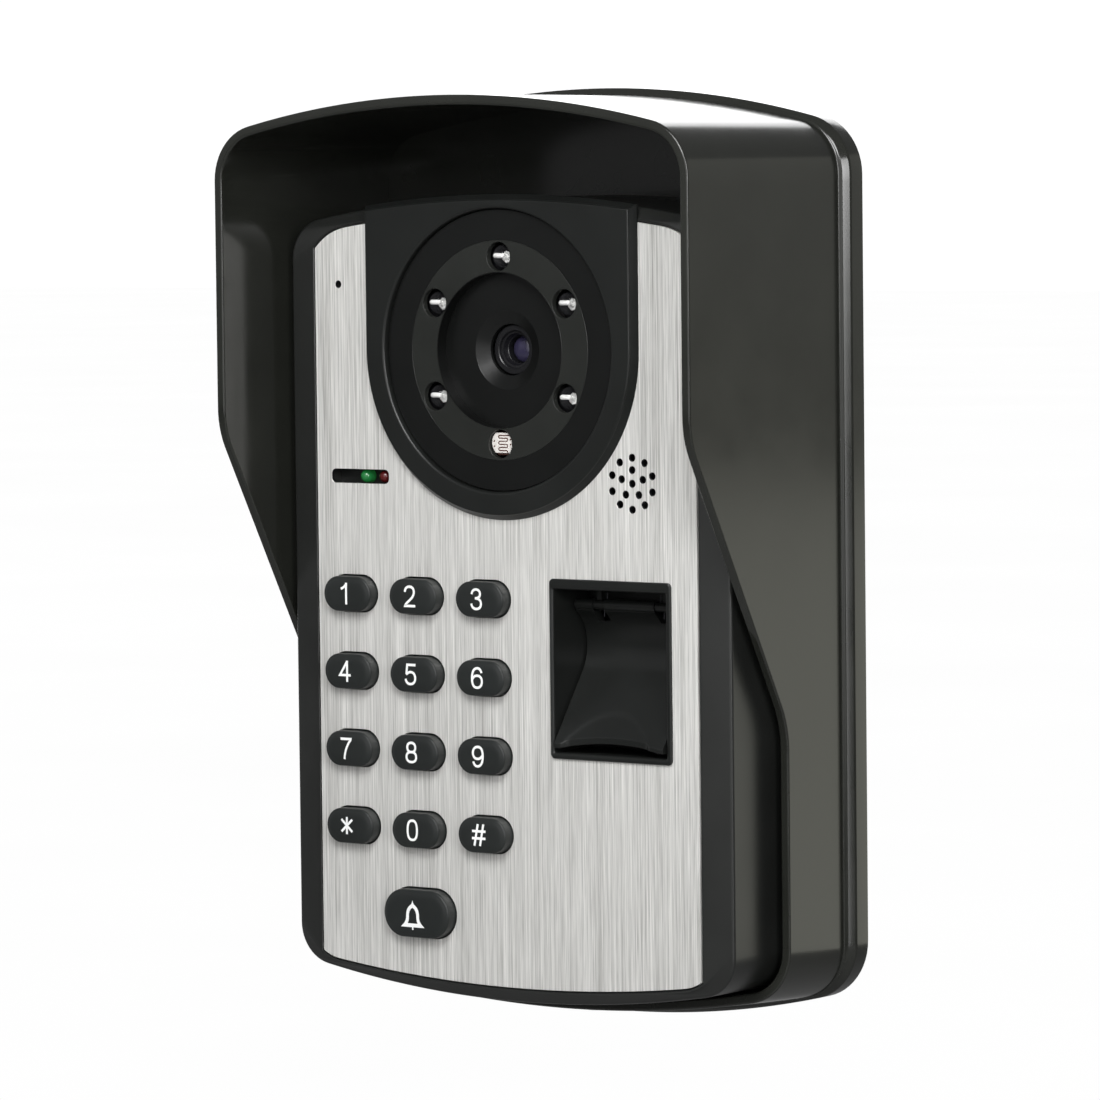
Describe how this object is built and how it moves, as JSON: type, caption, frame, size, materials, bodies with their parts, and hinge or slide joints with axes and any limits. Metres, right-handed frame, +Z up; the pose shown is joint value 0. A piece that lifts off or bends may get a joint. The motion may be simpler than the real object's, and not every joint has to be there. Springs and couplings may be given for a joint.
{
  "type": "door intercom panel",
  "caption": "Wall-mounted outdoor door intercom with a rain hood, brushed metal face, infrared camera, keypad, speaker grille and a flap-covered fingerprint reader.",
  "frame": {"origin": "on the wall face of the hood's back, at half width and half height", "axes": "+Z up, +Y into the wall, -Y out towards the visitor, +X to the visitor's right"},
  "size_m": [0.1312, 0.0614, 0.203],
  "materials": {
    "hood_plastic": "satin moulded ABS with a faint warm grey cast",
    "case_plastic": "satin moulded ABS",
    "brushed_aluminium": "vertically brushed, clear anodised",
    "panel_plastic": "semi-gloss black",
    "window_black": "smooth dark acrylic",
    "lamp_ring_grey": "smooth dark grey",
    "key_rubber": "satin black with white printed symbols",
    "seal_rubber": "matt",
    "lens_black": "black lens barrel",
    "coated_glass": "coated optical glass",
    "clear_lamp": "clear epoxy",
    "photocell": "cadmium sulphide cell with a zigzag track",
    "green_lamp": "tinted epoxy, lit",
    "red_lamp": "tinted epoxy",
    "circuit_board": "solder mask",
    "steel": "plain",
    "dark_steel": "black oxide",
    "mesh_black": "fine black mesh",
    "chip_black": "moulded",
    "relay_blue": "moulded",
    "terminal_green": "moulded",
    "ribbon_white": "flat cable"
  },
  "bodies": {
    "panel": {"rain_hood": "hood_plastic", "front_case": "case_plastic", "rear_cover": "case_plastic", "face_plate": "brushed_aluminium", "camera_bezel": "panel_plastic", "status_lamp_baffle": "panel_plastic", "lens_holder": "panel_plastic", "fingerprint_frame": "panel_plastic", "camera_window": "window_black", "lens_cone": "window_black", "lamp_ring": "lamp_ring_grey", "case_gasket": "seal_rubber", "speaker_gasket": "seal_rubber", "mic_boot": "seal_rubber", "keypad_mat": "seal_rubber", "lens_barrel": "lens_black", "lens_glass": "coated_glass", "sensor_glass": "coated_glass", "infrared_lamps": "clear_lamp", "light_sensor": "photocell", "status_lamp_green": "green_lamp", "status_lamp_red": "red_lamp", "camera_board": "circuit_board", "lamp_board": "circuit_board", "sensor_board": "circuit_board", "keypad_board": "circuit_board", "main_board": "circuit_board", "lock_screw": "steel", "case_screws": "steel", "board_screws": "steel", "microphone": "steel", "speaker": "steel", "flap_hinge_pin": "dark_steel", "flap_spring": "dark_steel", "speaker_mesh": "mesh_black", "processor": "chip_black", "sensor_module": "chip_black", "capacitors": "chip_black", "relay": "relay_blue", "terminal_block": "terminal_green", "camera_ribbon": "ribbon_white", "keypad_ribbon": "ribbon_white"},
    "key_1": {"key_1": "key_rubber"},
    "key_2": {"key_2": "key_rubber"},
    "key_3": {"key_3": "key_rubber"},
    "key_4": {"key_4": "key_rubber"},
    "key_5": {"key_5": "key_rubber"},
    "key_6": {"key_6": "key_rubber"},
    "key_7": {"key_7": "key_rubber"},
    "key_8": {"key_8": "key_rubber"},
    "key_9": {"key_9": "key_rubber"},
    "key_star": {"key_star": "key_rubber"},
    "key_0": {"key_0": "key_rubber"},
    "key_hash": {"key_hash": "key_rubber"},
    "key_bell": {"key_bell": "key_rubber"},
    "flap": {"fingerprint_flap": "panel_plastic"}
  },
  "joints": [
    {"name": "press_key_1", "type": "slide", "parent": "panel", "child": "key_1", "axis": [0, 1, 0], "range_m": [0, 0.0008], "stiffness_N_per_m": 400, "springref_m": -0.0003},
    {"name": "press_key_2", "type": "slide", "parent": "panel", "child": "key_2", "axis": [0, 1, 0], "range_m": [0, 0.0008], "stiffness_N_per_m": 400, "springref_m": -0.0003},
    {"name": "press_key_3", "type": "slide", "parent": "panel", "child": "key_3", "axis": [0, 1, 0], "range_m": [0, 0.0008], "stiffness_N_per_m": 400, "springref_m": -0.0003},
    {"name": "press_key_4", "type": "slide", "parent": "panel", "child": "key_4", "axis": [0, 1, 0], "range_m": [0, 0.0008], "stiffness_N_per_m": 400, "springref_m": -0.0003},
    {"name": "press_key_5", "type": "slide", "parent": "panel", "child": "key_5", "axis": [0, 1, 0], "range_m": [0, 0.0008], "stiffness_N_per_m": 400, "springref_m": -0.0003},
    {"name": "press_key_6", "type": "slide", "parent": "panel", "child": "key_6", "axis": [0, 1, 0], "range_m": [0, 0.0008], "stiffness_N_per_m": 400, "springref_m": -0.0003},
    {"name": "press_key_7", "type": "slide", "parent": "panel", "child": "key_7", "axis": [0, 1, 0], "range_m": [0, 0.0008], "stiffness_N_per_m": 400, "springref_m": -0.0003},
    {"name": "press_key_8", "type": "slide", "parent": "panel", "child": "key_8", "axis": [0, 1, 0], "range_m": [0, 0.0008], "stiffness_N_per_m": 400, "springref_m": -0.0003},
    {"name": "press_key_9", "type": "slide", "parent": "panel", "child": "key_9", "axis": [0, 1, 0], "range_m": [0, 0.0008], "stiffness_N_per_m": 400, "springref_m": -0.0003},
    {"name": "press_key_star", "type": "slide", "parent": "panel", "child": "key_star", "axis": [0, 1, 0], "range_m": [0, 0.0008], "stiffness_N_per_m": 400, "springref_m": -0.0003},
    {"name": "press_key_0", "type": "slide", "parent": "panel", "child": "key_0", "axis": [0, 1, 0], "range_m": [0, 0.0008], "stiffness_N_per_m": 400, "springref_m": -0.0003},
    {"name": "press_key_hash", "type": "slide", "parent": "panel", "child": "key_hash", "axis": [0, 1, 0], "range_m": [0, 0.0008], "stiffness_N_per_m": 400, "springref_m": -0.0003},
    {"name": "press_key_bell", "type": "slide", "parent": "panel", "child": "key_bell", "axis": [0, 1, 0], "range_m": [0, 0.0008], "stiffness_N_per_m": 400, "springref_m": -0.0003},
    {"name": "flap_hinge", "type": "hinge", "parent": "panel", "child": "flap", "pos_m": [0.0285, -0.0344, -0.0092], "axis": [-1, 0, 0], "range_deg": [0, 65], "stiffness_Nm_per_rad": 0.004, "springref_deg": -17.19}
  ]
}
